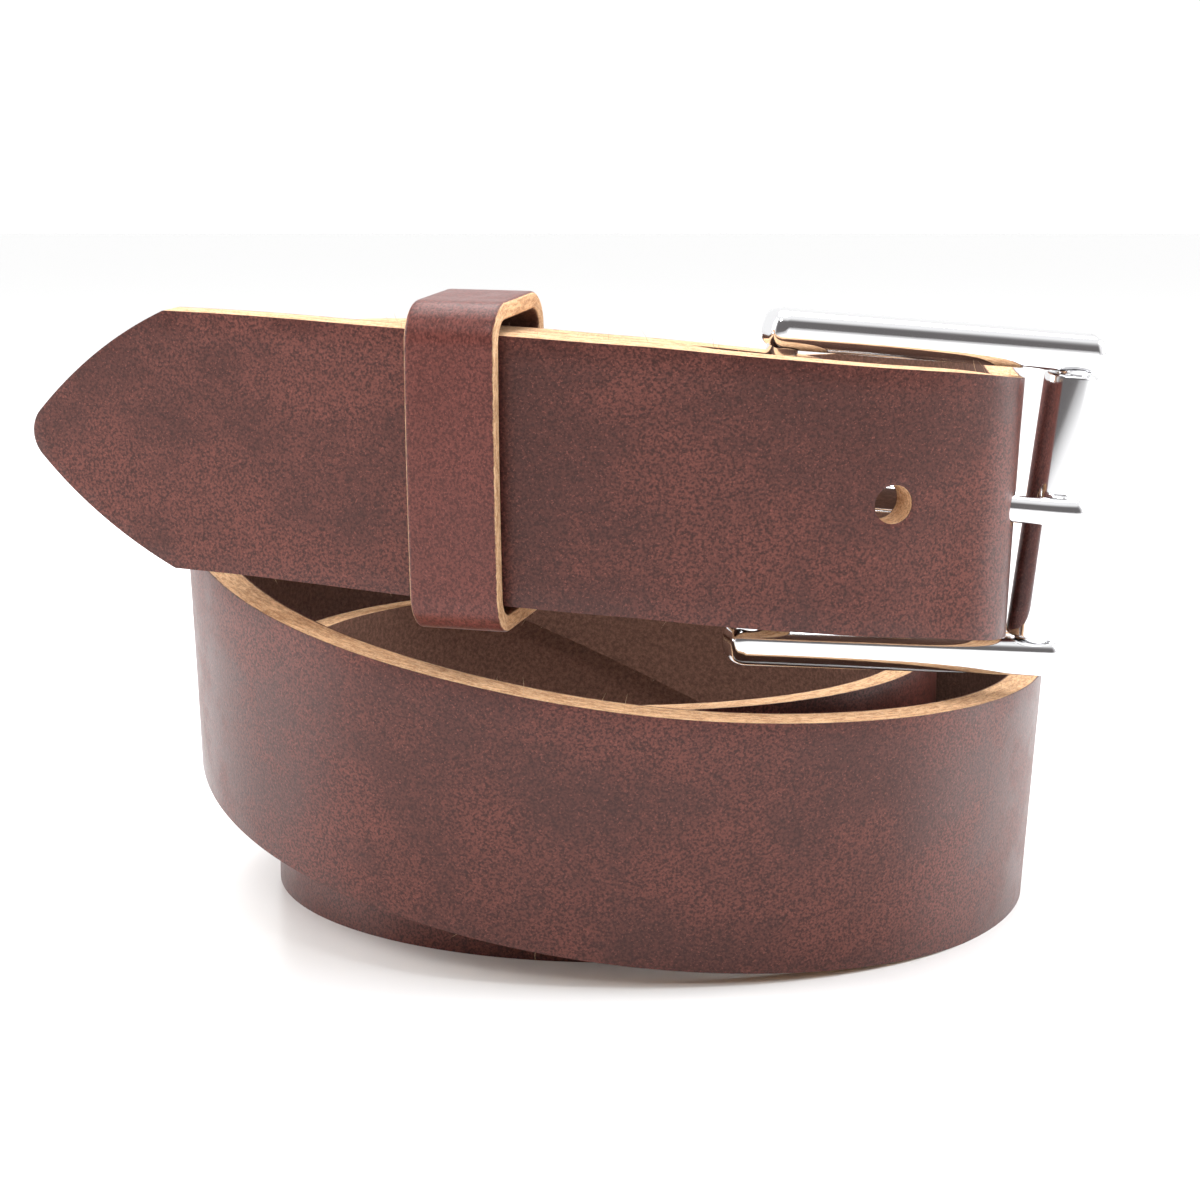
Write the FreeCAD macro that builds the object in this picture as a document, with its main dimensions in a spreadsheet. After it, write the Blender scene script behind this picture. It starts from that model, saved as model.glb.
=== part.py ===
"""A fastened leather belt, wound into a coil of three turns that stands on its edge.

One strap runs through everything: its end is folded round the buckle's heel bar, it winds
clockwise (seen from above) round the coil, comes back up through the buckle's window and ends
in a pointed billet that passes through the keeper. X is to the right, Y to the back, Z up.
"""
import FreeCAD, Part
import math
import os
import re
import Sketcher

Vector = FreeCAD.Vector
UP = Vector(0, 0, 1)

doc = FreeCAD.newDocument("belt")
sheet = doc.addObject("Spreadsheet::Sheet", "sizes")

DRIVING_SIZES = {
    # the strap
    "belt_width": 32.0, "leather_thick": 3.8, "layer_gap": 0.3, "fold_gap": 0.25, "tail_gap": 0.5,
    "hole_width": 4.7, "hole_pitch": 18.5, "hole_count": 5, "first_hole": 110.0,
    "point_length": 20.0, "nose_radius": 4.0, "side_radius": 60.0,
    "slot_width": 5.0, "slot_length": 21.0,
    "centre_x": -4.6, "centre_y": 3.44,
    # the buckle
    "bar_pitch": 38.8, "heel_bar_diameter": 3.8, "axle_diameter": 4.2, "rail_height": 4.8,
    "rail_depth": 5.4, "rail_gap": 34.0, "heel_end": 2.3, "front_end": 3.5, "heel_corner": 3.4,
    "front_corner": 2.5, "rail_round": 2.0,
    "roller_diameter": 6.6, "running_gap": 0.05, "roller_end_gap": 0.3,
    "prong_width": 3.6, "prong_thick": 2.7, "prong_reach": 41.3, "prong_eye": 7.0,
    # the keeper
    "keeper_width": 11.0, "keeper_thick": 2.2, "keeper_side_gap": 0.9, "keeper_edge_gap": 1.4,
    "keeper_back_room": 1.0,
    "keeper_round": 2.4, "keeper_seam": 0.3, "staple_wire": 0.8, "staple_span": 7.0,
    # the screws that hold the fold
    "cap_diameter": 7.5, "cap_thick": 1.1, "post_diameter": 4.5, "screw_diameter": 2.6,
    "screw_row": 22.0, "screw_spread": 15.0, "screw_gap": 1.55, "screw_head_thick": 1.1,
    "drive_slot": 1.0,
}
for row, (alias, number) in enumerate(DRIVING_SIZES.items(), start=1):
    sheet.set("A%d" % row, alias)
    sheet.set("B%d" % row, str(number))
    sheet.setAlias("B%d" % row, alias)
doc.recompute()


def size(alias):
    return float(sheet.get(alias))


# ---- where the belt lies -------------------------------------------------------------------
# the coil: angle travelled from the front (degrees), radius and height of the strap's middle
# line (mm), and outward lean (degrees), first turn to last
COIL = [
    (45, 53.6, 62.7, 3.0), (60, 52.0, 61.7, 2.5), (90, 48.9, 59.3, 2.0), (120, 45.8, 55.2, 1.5),
    (150, 42.0, 49.0, 1.0), (180, 41.5, 39.6, 0.5), (210, 41.4, 29.8, 0.0), (240, 41.8, 22.4, 0.0),
    (270, 42.4, 17.9, 0.0), (300, 43.3, 16.3, 0.0), (330, 44.1, 15.9, 0.0), (360, 44.7, 15.9, 0.0),
    (390, 45.0, 15.9, 0.0), (420, 45.1, 15.9, 0.0), (450, 45.2, 15.9, 0.0), (480, 45.3, 15.9, 0.0),
    (510, 46.2, 15.9, 0.0), (540, 47.6, 15.9, 0.0), (570, 49.9, 15.9, 0.5), (600, 52.5, 15.9, 1.5),
    (630, 54.9, 15.9, 3.0), (660, 57.4, 15.9, 5.0), (690, 58.9, 16.8, 7.0), (720, 57.8, 19.2, 8.0),
    (750, 58.1, 24.3, 6.5), (780, 56.9, 30.0, 3.5), (810, 56.0, 35.9, 2.0), (840, 55.9, 41.3, 1.5),
    (870, 55.8, 46.0, 1.0), (900, 55.6, 49.7, 1.0), (930, 54.6, 52.4, 1.0), (960, 52.9, 54.4, 1.0),
    (990, 51.0, 55.6, 1.5),
]
COIL_STEP = 15
# the strap's middle line from the coil's right side, round the bend and along the front
RIGHT_SIDE = [(52.0, -7.6, 55.9, 2.0), (50.8, -16.8, 56.2, 2.0), (49.8, -25.7, 56.3, 2.5)]
BEND = [(49.4, -33.3, 56.3, 2.5), (48.3, -38.3, 56.7, 3.0), (46.0, -41.7, 57.2, 3.0),
        (42.4, -44.1, 57.8, 3.5)]
FRONT = [
    (33.1, -48.5, 58.8, 4.0), (26.1, -50.4, 59.5, 4.0), (19.2, -51.6, 60.2, 4.0),
    (12.2, -52.1, 60.9, 4.0), (5.1, -52.0, 61.6, 4.0), (-1.9, -51.5, 62.1, 4.0),
    (-8.9, -50.4, 62.6, 4.0), (-15.9, -48.8, 63.0, 4.0), (-22.9, -46.3, 63.4, 4.0),
    (-30.0, -43.4, 63.8, 4.0), (-37.1, -40.3, 64.2, 4.0), (-51.5, -33.9, 64.7, 4.0),
    (-64.9, -27.9, 64.9, 4.0), (-70.3, -25.4, 65.0, 4.0),
]
FOLDED = range(4, 9)
COIL_X, COIL_Y = 2.2, 5.5
HEEL_BAR = Vector(19.7, -42.6, 59.6)
FRONT_BAR_WAY = Vector(36.4, 12.0, -3.6)
FOLD_TURNS = range(-90, 91, 30)
BAY = 6
BUCKLE_LEAN = 4.8
KEEPER_AT = 7
KEEPER_SKEW = 2.5


def coil_stations():
    """Points of the coil and their leans, evenly spaced by angle."""
    shape = Part.BSplineCurve()
    shape.interpolate(Points=[Vector(radius, height, lean) for _, radius, height, lean in COIL],
                      Parameters=[float(angle) for angle, _, _, _ in COIL])
    stations = []
    for angle in range(COIL[0][0], COIL[-1][0] + 1, COIL_STEP):
        radius, height, lean = shape.value(float(angle))
        turn = math.radians(angle)
        stations.append((Vector(COIL_X - radius * math.sin(turn), COIL_Y - radius * math.cos(turn),
                                height), lean))
    return stations


def width_way(along, lean):
    """The direction across the strap: as upright as the strap's way allows, then leant out."""
    upright = (UP - along * along.dot(UP)).normalize()
    outward = upright.cross(along)
    lean = math.radians(lean)
    return upright * math.cos(lean) + outward * math.sin(lean)


def layer_behind_front(depth, way=1):
    """Stations of a layer that lies this deep behind the billet, from the buckle to the left."""
    stations = []
    for place in FOLDED:
        x, y, z, lean = FRONT[place]
        before, after = FRONT[place - 1], FRONT[place + 1]
        along = Vector(after[0] - before[0], after[1] - before[1], 0).normalize()
        inward = along.cross(UP)
        stations.append((Vector(x, y, z) + inward * depth, lean * way))
    return stations


BELT_WIDTH = size("belt_width")
THICK = size("leather_thick")

# the buckle's own axes: along (heel bar to roller), out (to the wearer's front), across
ALONG = Vector(FRONT_BAR_WAY).normalize()
ACROSS = width_way(ALONG * -1, BUCKLE_LEAN)
OUT = ALONG.cross(ACROSS)


def buckle_point(along, out, across=0.0):
    return HEEL_BAR + ALONG * along + OUT * out + ACROSS * across


def strap_stations():
    """The strap's whole middle line: points, each with the lean across it, or None in the fold."""
    front_layer = layer_behind_front(THICK + size("layer_gap"))
    tail_depth = 2 * THICK + size("layer_gap") + size("tail_gap")
    tail_layer = layer_behind_front(tail_depth, way=-1)
    coil = coil_stations()
    coil_start, start_lean = coil[0]
    to_centre = Vector(COIL_X - coil_start.x, COIL_Y - coil_start.y, 0).normalize()
    stations = [(coil_start + to_centre * (THICK + size("tail_gap")), -start_lean)]
    stations += tail_layer[::-1]
    fold_radius = size("heel_bar_diameter") / 2 + size("fold_gap") + THICK / 2
    for turn in FOLD_TURNS:
        swing = math.radians(turn)
        stations.append((buckle_point(fold_radius * math.cos(swing), fold_radius * math.sin(swing)),
                         None))
    stations += front_layer + coil
    for x, y, z, lean in RIGHT_SIDE + BEND + FRONT:
        stations.append((Vector(x, y, z), lean))
    return stations


def across_at(along, lean):
    """The way across the strap; in the fold it is the buckle's own."""
    if lean is None:
        return (ACROSS - along * along.dot(ACROSS)).normalize()
    return width_way(along, lean)


class Strap:
    """The strap's middle line, and the ways along, across and out of it at each station."""

    def __init__(self, stations):
        self.middle = Part.BSplineCurve()
        self.middle.interpolate([point for point, _ in stations])
        self.places = [self.middle.parameter(point) for point, _ in stations]
        self.frames = []
        for (point, lean), place in zip(stations, self.places):
            along = Vector(self.middle.tangent(place)[0]).normalize()
            across = across_at(along, lean)
            self.frames.append((point, along, across, across.cross(along)))

    def corner_line(self, side, face):
        """One of the strap's four long edges: side is +1 at the top, face +1 on the grain."""
        line = Part.BSplineCurve()
        points = [point + across * (side * BELT_WIDTH / 2) + out * (face * THICK / 2)
                  for point, _, across, out in self.frames]
        line.interpolate(Points=points, Parameters=self.places)
        return line

    def solid(self):
        """The closed strap: ruled faces bay by bay along its four edges, and two flat ends."""
        corners = [self.corner_line(-1, -1), self.corner_line(-1, 1), self.corner_line(1, 1),
                   self.corner_line(1, -1)]
        stops = self.places[:-1:BAY] + self.places[-1:]
        faces = []
        for start, end in zip(stops, stops[1:]):
            edges = [line.trim(start, end).toShape() for line in corners]
            faces += [Part.makeRuledSurface(edge, edges[(number + 1) % 4], 1)
                      for number, edge in enumerate(edges)]
        for place in (self.places[0], self.places[-1]):
            points = [line.value(place) for line in corners]
            faces.append(Part.Face(Part.makePolygon(points + points[:1])))
        shell = Part.makeShell(faces)
        shell.sewShape()
        return Part.makeSolid(shell)

    def at_length(self, distance, from_end=False):
        """The frame at a distance along the middle line from one of its ends."""
        if from_end:
            distance = self.middle.length() - distance
        place = self.middle.parameterAtDistance(distance, self.middle.FirstParameter)
        return self.frame_at(place)

    def frame_at(self, place):
        """The frame at any place: its way across lies between those of its neighbours."""
        number = max(n for n, value in enumerate(self.places[:-1]) if value <= place)
        share = (place - self.places[number]) / (self.places[number + 1] - self.places[number])
        along = Vector(self.middle.tangent(place)[0]).normalize()
        near, far = self.frames[number][2], self.frames[number + 1][2]
        across = near * (1 - share) + far * share
        across = (across - along * along.dot(across)).normalize()
        return self.middle.value(place), along, across, across.cross(along)


def placed(origin, x_way, z_way):
    """The placement of a local frame whose x and z axes lie these ways."""
    y_way = z_way.cross(x_way).normalize()
    z_way = x_way.cross(y_way)
    turn = FreeCAD.Rotation(x_way, y_way, z_way, "ZXY")
    return FreeCAD.Placement(origin, turn)


STRAP = Strap(strap_stations())


# ---- small helpers for the document's objects ----------------------------------------------
def formula(text):
    """An expression on the sheet's cells, from a text that names them."""
    return re.sub("[a-z_]+", lambda word: "sizes." + word.group(0), text)


def amount(text):
    return float(sheet.evalExpression(formula(text)))


def primitive(kind, name, placement, **sizes):
    """A Part primitive whose sizes are bound to the sheet."""
    shape = doc.addObject("Part::" + kind, name)
    for prop, text in sizes.items():
        shape.setExpression(prop, formula(text))
    shape.Placement = placement
    return shape


def boolean(kind, name, base, tools):
    """Base cut by, or joined to, the tools."""
    if kind == "Cut":
        result = doc.addObject("Part::Cut", name)
        result.Base = base
        result.Tool = tools[0] if len(tools) == 1 else boolean("Fuse", name + "_tools", None, tools)
        return result
    result = doc.addObject("Part::MultiFuse", name)
    result.Shapes = ([base] if base else []) + tools
    return result


def new_body(label, placement):
    body = doc.addObject("PartDesign::Body", label)
    body.Label = label
    body.Placement = placement
    return body


def sketch_on(body, role, name):
    """An empty sketch on one of the body's own origin planes."""
    sketch = body.newObject("Sketcher::SketchObject", name)
    plane = [feature for feature in body.Origin.OriginFeatures if feature.Role == role][0]
    sketch.AttachmentSupport = (plane, [""])
    sketch.MapMode = "FlatFace"
    return sketch


def draw_circle(sketch, x_text, y_text, radius_text):
    """A circle placed and sized from the sheet."""
    centre = Vector(amount(x_text), amount(y_text), 0)
    circle = sketch.addGeometry(Part.Circle(centre, Vector(0, 0, 1), amount(radius_text)))
    rules = [("DistanceX", -1, 1, circle, 3, x_text), ("DistanceY", -1, 1, circle, 3, y_text)]
    for rule, origin, origin_point, thing, point, text in rules:
        number = sketch.addConstraint(
            Sketcher.Constraint(rule, origin, origin_point, thing, point, amount(text)))
        sketch.setExpression("Constraints[%d]" % number, formula(text))
    number = sketch.addConstraint(Sketcher.Constraint("Radius", circle, amount(radius_text)))
    sketch.setExpression("Constraints[%d]" % number, formula(radius_text))


def draw_box(sketch, left, bottom, right, top):
    """An upright rectangle whose four sides are placed from the sheet."""
    texts = [(left, bottom), (right, bottom), (right, top), (left, top)]
    corners = [Vector(amount(x), amount(y), 0) for x, y in texts]
    lines = [sketch.addGeometry(Part.LineSegment(corner, corners[(number + 1) % 4]))
             for number, corner in enumerate(corners)]
    for number, line in enumerate(lines):
        following = lines[(number + 1) % 4]
        sketch.addConstraint(Sketcher.Constraint("Coincident", line, 2, following, 1))
        level = "Horizontal" if number % 2 == 0 else "Vertical"
        sketch.addConstraint(Sketcher.Constraint(level, line))
    for line, (x_text, y_text) in ((lines[0], texts[0]), (lines[2], texts[2])):
        for rule, text in (("DistanceX", x_text), ("DistanceY", y_text)):
            number = sketch.addConstraint(
                Sketcher.Constraint(rule, -1, 1, line, 1, amount(text)))
            sketch.setExpression("Constraints[%d]" % number, formula(text))


def pad(body, sketch, name, length_text):
    """A pad of this length, half on each side of its sketch."""
    feature = body.newObject("PartDesign::Pad", name)
    feature.Profile = sketch
    feature.Midplane = True
    feature.setExpression("Length", formula(length_text))
    doc.recompute()
    return feature


def pocket(body, sketch, name, length_text):
    """A pocket cut half on each side of its sketch."""
    before = body.Shape.Volume
    feature = body.newObject("PartDesign::Pocket", name)
    feature.Profile = sketch
    feature.Midplane = True
    feature.setExpression("Length", formula(length_text))
    doc.recompute()
    if body.Shape.Volume >= before:
        raise RuntimeError(name + " cuts nothing")
    return feature


def round_edges(body, base, name, radius_text, wanted):
    """Fillets on the edges that the test picks."""
    picked = ["Edge%d" % number for number, edge in enumerate(base.Shape.Edges, start=1)
              if wanted(edge)]
    feature = body.newObject("PartDesign::Fillet", name)
    feature.Base = (base, picked)
    feature.setExpression("Radius", formula(radius_text))
    doc.recompute()
    return feature


def runs_along(edge, axis):
    """Whether a straight edge lies along a local axis."""
    if edge.Curve.TypeId != "Part::GeomLine":
        return False
    return abs(edge.tangentAt(edge.FirstParameter).dot(axis)) > 0.999


X_AXIS, Y_AXIS, Z_AXIS = Vector(1, 0, 0), Vector(0, 1, 0), Vector(0, 0, 1)
parts = []


# ---- buckle --------------------------------------------------------------------------------
BUCKLE_PLACE = placed(HEEL_BAR, ALONG, OUT)


def make_buckle_frame():
    """Two rounded rails joined by the heel bar and by the axle that carries the roller."""
    body = new_body("buckle_frame", BUCKLE_PLACE)
    body.AllowCompound = True
    rails = sketch_on(body, "XY_Plane", "rail_outline")
    draw_box(rails, "-heel_end", "rail_gap / 2", "bar_pitch + front_end", "rail_gap / 2 + rail_height")
    draw_box(rails, "-heel_end", "-rail_gap / 2 - rail_height", "bar_pitch + front_end",
             "-rail_gap / 2")
    solid = pad(body, rails, "rails", "rail_depth")
    corner = amount("rail_gap / 2 + rail_height")
    heel_side = -amount("heel_end")

    def outer_corner(edge, at_heel):
        place = edge.CenterOfMass
        return (runs_along(edge, Z_AXIS) and abs(abs(place.y) - corner) < 0.01
                and (abs(place.x - heel_side) < 0.01) == at_heel)

    solid = round_edges(body, solid, "heel_corners", "heel_corner",
                        lambda edge: outer_corner(edge, True))
    solid = round_edges(body, solid, "front_corners", "front_corner",
                        lambda edge: outer_corner(edge, False))
    solid = round_edges(body, solid, "rail_rounding", "rail_round",
                        lambda edge: runs_along(edge, X_AXIS)
                        and abs(abs(edge.CenterOfMass.y) - corner) < 0.01)
    solid = round_edges(body, solid, "window_rounding", "rail_round / 2",
                        lambda edge: runs_along(edge, X_AXIS)
                        and abs(abs(edge.CenterOfMass.y) - amount("rail_gap / 2")) < 0.01)
    bars = sketch_on(body, "XZ_Plane", "bar_outlines")
    draw_circle(bars, "0 * bar_pitch", "0 * bar_pitch", "heel_bar_diameter / 2")
    draw_circle(bars, "bar_pitch", "0 * bar_pitch", "axle_diameter / 2")
    pad(body, bars, "bars", "rail_gap + rail_height")
    return body


def make_roller():
    """The tube that turns on the frame's axle."""
    length = "rail_gap - 2 * roller_end_gap"
    middle = BUCKLE_PLACE.multiply(FreeCAD.Placement(
        Vector(size("bar_pitch"), amount(length) / 2, 0), FreeCAD.Rotation(X_AXIS, 90)))
    outside = primitive("Cylinder", "roller_outside", middle, Radius="roller_diameter / 2",
                        Height=length)
    bore = primitive("Cylinder", "roller_bore", middle, Radius="axle_diameter / 2 + running_gap",
                     Height=length)
    return boolean("Cut", "roller", outside, [bore])


PRONG_ANGLE = -math.degrees(math.asin(
    amount("(roller_diameter + prong_thick) / 2 + 0.1") / size("bar_pitch")))
PRONG_PLACE = BUCKLE_PLACE.multiply(FreeCAD.Placement(
    Vector(0, 0, 0), FreeCAD.Rotation(Y_AXIS, PRONG_ANGLE)))


def make_prong():
    """A round-nosed blade with an eye that turns on the heel bar."""
    body = new_body("prong", PRONG_PLACE)
    blade = sketch_on(body, "XY_Plane", "blade_outline")
    draw_box(blade, "0 * prong_reach", "-prong_width / 2", "prong_reach", "prong_width / 2")
    solid = pad(body, blade, "blade", "prong_thick")
    reach = size("prong_reach")
    solid = round_edges(body, solid, "nose", "prong_width / 2 - 0.05",
                        lambda edge: runs_along(edge, Z_AXIS) and edge.CenterOfMass.x > reach - 1)
    eye = sketch_on(body, "XZ_Plane", "eye_outline")
    draw_circle(eye, "0 * prong_eye", "0 * prong_eye", "prong_eye / 2")
    solid = pad(body, eye, "eye", "prong_width")
    bore = sketch_on(body, "XZ_Plane", "eye_bore_outline")
    draw_circle(bore, "0 * prong_eye", "0 * prong_eye", "heel_bar_diameter / 2 + running_gap")
    solid = pocket(body, bore, "eye_bore", "2 * prong_width")
    round_edges(body, solid, "blade_rounding", "0.9 * prong_thick / 3",
                lambda edge: runs_along(edge, X_AXIS))
    return body


# ---- keeper --------------------------------------------------------------------------------
def frame_in_front(place, depth):
    """The local frame of a layer this deep behind the billet, at a station of the front."""
    x, y, z, lean = FRONT[place]
    before, after = FRONT[place - 1], FRONT[place + 1]
    along = (Vector(*after[:3]) - Vector(*before[:3])).normalize()
    across = width_way(along, lean)
    out = across.cross(along)
    return placed(Vector(x, y, z) - out * depth, along, out)


KEEPER_PLACE = frame_in_front(KEEPER_AT, 0).multiply(FreeCAD.Placement(
    Vector(0, 0, 0), FreeCAD.Rotation(Z_AXIS, KEEPER_SKEW)))
KEEPER_TOP = "leather_thick / 2 + keeper_side_gap"
KEEPER_BACK = "-2.5 * leather_thick - layer_gap - tail_gap - keeper_side_gap - keeper_back_room"
KEEPER_SIDE = "belt_width / 2 + keeper_edge_gap"


def make_keeper():
    """A strip bent into a loop round all three layers, with its ends butted at the back."""
    body = new_body("keeper_loop", KEEPER_PLACE)
    ring = sketch_on(body, "YZ_Plane", "loop_outline")
    draw_box(ring, "-(%s) - keeper_thick" % KEEPER_SIDE, KEEPER_BACK + " - keeper_thick",
             KEEPER_SIDE + " + keeper_thick", KEEPER_TOP + " + keeper_thick")
    solid = pad(body, ring, "loop", "keeper_width")
    solid = round_edges(body, solid, "outer_bends", "keeper_round + keeper_thick",
                        lambda edge: runs_along(edge, X_AXIS))
    inside = sketch_on(body, "YZ_Plane", "inside_outline")
    draw_box(inside, "-(%s)" % KEEPER_SIDE, KEEPER_BACK, KEEPER_SIDE, KEEPER_TOP)
    solid = pocket(body, inside, "inside", "2 * keeper_width")
    width = amount(KEEPER_SIDE)
    solid = round_edges(body, solid, "inner_bends", "keeper_round",
                        lambda edge: runs_along(edge, X_AXIS)
                        and abs(abs(edge.CenterOfMass.y) - width) < 0.01)
    seam = sketch_on(body, "XY_Plane", "seam_outline")
    draw_box(seam, "-keeper_width", "-keeper_seam / 2", "keeper_width", "keeper_seam / 2")
    feature = body.newObject("PartDesign::Pocket", "seam")
    feature.Profile = seam
    feature.setExpression("Length", formula("3 * leather_thick + 2 * keeper_thick"))
    doc.recompute()
    return body


def make_staple(name):
    """A wire staple across the keeper's seam, its legs through the leather on both sides."""
    back = amount(KEEPER_BACK + " - keeper_thick")
    span, wire = size("staple_span"), size("staple_wire")
    crown_place = KEEPER_PLACE.multiply(FreeCAD.Placement(
        Vector(0, (span + wire) / 2, back - wire / 2), FreeCAD.Rotation(X_AXIS, 90)))
    pieces = [primitive("Cylinder", name + "_crown", crown_place, Radius="staple_wire / 2",
                        Height="staple_span + staple_wire")]
    for side in (-1, 1):
        leg_place = KEEPER_PLACE.multiply(FreeCAD.Placement(
            Vector(0, side * span / 2, back - wire / 2), FreeCAD.Rotation()))
        pieces.append(primitive("Cylinder", name + "_leg", leg_place, Radius="staple_wire / 2",
                                Height="keeper_thick + staple_wire / 2"))
    return boolean("Fuse", name, None, pieces)


# ---- screws that hold the fold --------------------------------------------------------------
FOLD_PITCH = THICK + size("screw_gap")
RECESS_DEPTH = size("cap_thick") + 0.1
POST_END = -FOLD_PITCH - THICK / 2 + 0.2


def screw_places():
    """The local frames of the screws: z out of the grain, from the middle of the front layer."""
    fold_middle = 1 + len(FOLDED) + len(FOLD_TURNS) // 2
    from_end = STRAP.middle.length(STRAP.middle.FirstParameter, STRAP.places[fold_middle])
    point, along, across, out = STRAP.at_length(from_end + size("screw_row"))
    return [placed(point + across * (side * size("screw_spread") / 2), along, out)
            for side in (-1, 1)]


def raised(place, height):
    return place.multiply(FreeCAD.Placement(Vector(0, 0, height), FreeCAD.Rotation()))


def make_screw(number, place):
    """One flat-capped post from the grain side and the screw that goes into it from behind."""
    cap = primitive("Cylinder", "cap", raised(place, THICK / 2 - RECESS_DEPTH),
                    Radius="cap_diameter / 2", Height="cap_thick")
    barrel = primitive("Cylinder", "barrel", raised(place, POST_END), Radius="post_diameter / 2",
                       Height="2 * leather_thick + screw_gap - 0.2 - cap_thick")
    bore = primitive("Cylinder", "bore", raised(place, POST_END - 1),
                     Radius="screw_diameter / 2 + running_gap",
                     Height="2 * leather_thick + screw_gap - cap_thick")
    post = boolean("Cut", "screw_post_%d" % number, boolean("Fuse", "post", None, [cap, barrel]),
                   [bore])
    back = -FOLD_PITCH - THICK / 2
    head = primitive("Cylinder", "head", raised(place, back - size("screw_head_thick") - 0.02),
                     Radius="cap_diameter / 2", Height="screw_head_thick")
    shank = primitive("Cylinder", "shank", raised(place, back - 0.5), Radius="screw_diameter / 2",
                      Height="leather_thick + 2")
    drive = primitive("Box", "drive", place.multiply(FreeCAD.Placement(
        Vector(-size("cap_diameter"), -size("drive_slot") / 2, back - 2 * size("screw_head_thick")),
        FreeCAD.Rotation())), Length="2 * cap_diameter", Width="drive_slot",
        Height="1.5 * screw_head_thick")
    screw = boolean("Cut", "screw_%d" % number, boolean("Fuse", "screw_solid", None, [head, shank]),
                    [drive])
    return post, screw


# ---- strap ---------------------------------------------------------------------------------
def upright_cylinder(radius, start, way, length):
    return Part.makeCylinder(radius, length, start, way)


def point_cutter():
    """What is cut away to leave the pointed tip: a block less the pointed outline."""
    point, along, across, out = STRAP.frames[-1]
    tip_length = size("point_length")
    place = placed(point, along, out)
    half, nose, bow = BELT_WIDTH / 2, size("nose_radius"), size("side_radius")
    shoulder = Vector(-tip_length, half, 0)
    steep = math.radians(45)
    nose_start = Vector(nose * (math.cos(steep) - 1), nose * math.sin(steep), 0)
    chord = nose_start - shoulder
    side_middle = (shoulder + nose_start) * 0.5 + Vector(-chord.y, chord.x, 0).normalize() \
        * (chord.Length ** 2 / (8 * bow))
    mirrored = [Vector(corner.x, -corner.y, 0) for corner in (nose_start, side_middle, shoulder)]
    back = -tip_length - 8
    edges = [
        Part.LineSegment(Vector(back, half + 1, 0), Vector(-tip_length, half + 1, 0)),
        Part.LineSegment(Vector(-tip_length, half + 1, 0), shoulder),
        Part.Arc(shoulder, side_middle, nose_start),
        Part.Arc(nose_start, Vector(0, 0, 0), mirrored[0]),
        Part.Arc(mirrored[0], mirrored[1], mirrored[2]),
        Part.LineSegment(mirrored[2], Vector(-tip_length, -half - 1, 0)),
        Part.LineSegment(Vector(-tip_length, -half - 1, 0), Vector(back, -half - 1, 0)),
        Part.LineSegment(Vector(back, -half - 1, 0), Vector(back, half + 1, 0)),
    ]
    reach = THICK
    outline = Part.Face(Part.Wire([edge.toShape() for edge in edges]))
    kept = outline.extrude(Vector(0, 0, 2 * reach))
    block = Part.makeBox(tip_length + 12, BELT_WIDTH + 2, 2 * reach,
                         Vector(back, -half - 1, 0))
    cutter = block.cut(kept)
    cutter.translate(Vector(0, 0, -reach))
    cutter.Placement = place.multiply(cutter.Placement)
    return cutter


def hole_cutters():
    """The punched holes: all but the second, which the prong has pulled long, are round."""
    cutters = []
    for number in range(int(size("hole_count"))):
        if number == 1:
            continue
        distance = size("first_hole") + number * size("hole_pitch")
        point, _, _, out = STRAP.at_length(distance, from_end=True)
        cutters.append(upright_cylinder(size("hole_width") / 2, point - out * THICK, out, 2 * THICK))
    return cutters


def prong_hole_cutter():
    """The second hole, where the strap bends over the prong."""
    half_width, room = size("hole_width") / 2, size("prong_thick") / 2 + 0.6
    travel = 1.2
    block = Part.makeBox(size("bar_pitch") * 0.45, 2 * half_width, 2 * room + travel,
                         Vector(size("bar_pitch") * 0.55, -half_width, -room))
    block = block.makeFillet(half_width * 0.8, [edge for edge in block.Edges
                                                if runs_along(edge, X_AXIS)])
    block.Placement = PRONG_PLACE.multiply(block.Placement)
    return block


def prong_slot_cutter():
    """The slot in the fold that lets the prong's eye sit round the heel bar."""
    bend = size("heel_bar_diameter") / 2 + size("fold_gap") + THICK
    straight = (size("slot_length") - math.pi * (bend - THICK / 2)) / 2
    block = Part.makeBox(straight + 2 * bend, size("slot_width"), 2 * bend + 0.4,
                         Vector(-straight, -size("slot_width") / 2, -bend - 0.2))
    block.Placement = BUCKLE_PLACE.multiply(block.Placement)
    return block


def screw_hole_cutters():
    """A hole through each layer of the fold for each post, and a recess for its cap."""
    radius = size("post_diameter") / 2 + 0.1
    past = 1.5
    cutters = []
    for place in screw_places():
        out = place.Rotation.multVec(Z_AXIS)
        cutters.append(upright_cylinder(radius, raised(place, POST_END - past).Base, out,
                                        THICK + size("screw_gap") / 2 + past))
        cutters.append(upright_cylinder(radius, raised(place, -THICK / 2 - 0.5).Base, out,
                                        THICK + 0.8))
        cutters.append(upright_cylinder(size("cap_diameter") / 2 + 0.1,
                                        raised(place, THICK / 2 - RECESS_DEPTH).Base, out,
                                        RECESS_DEPTH + size("layer_gap") / 2))
    return cutters


def make_strap():
    """The whole strap, cut to its point, punched, slotted, and worn flat where it stands."""
    solid = STRAP.solid()
    room = 200.0
    floor = Part.makeBox(2 * room, 2 * room, room, Vector(-room, -room, -room))
    tools = [floor, point_cutter(), prong_hole_cutter(), prong_slot_cutter()]
    tools += hole_cutters() + screw_hole_cutters()
    for tool in tools:
        solid = max(solid.cut(tool).Solids, key=lambda left: left.Volume)
    feature = doc.addObject("Part::Feature", "strap")
    feature.Shape = solid
    return feature


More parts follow.
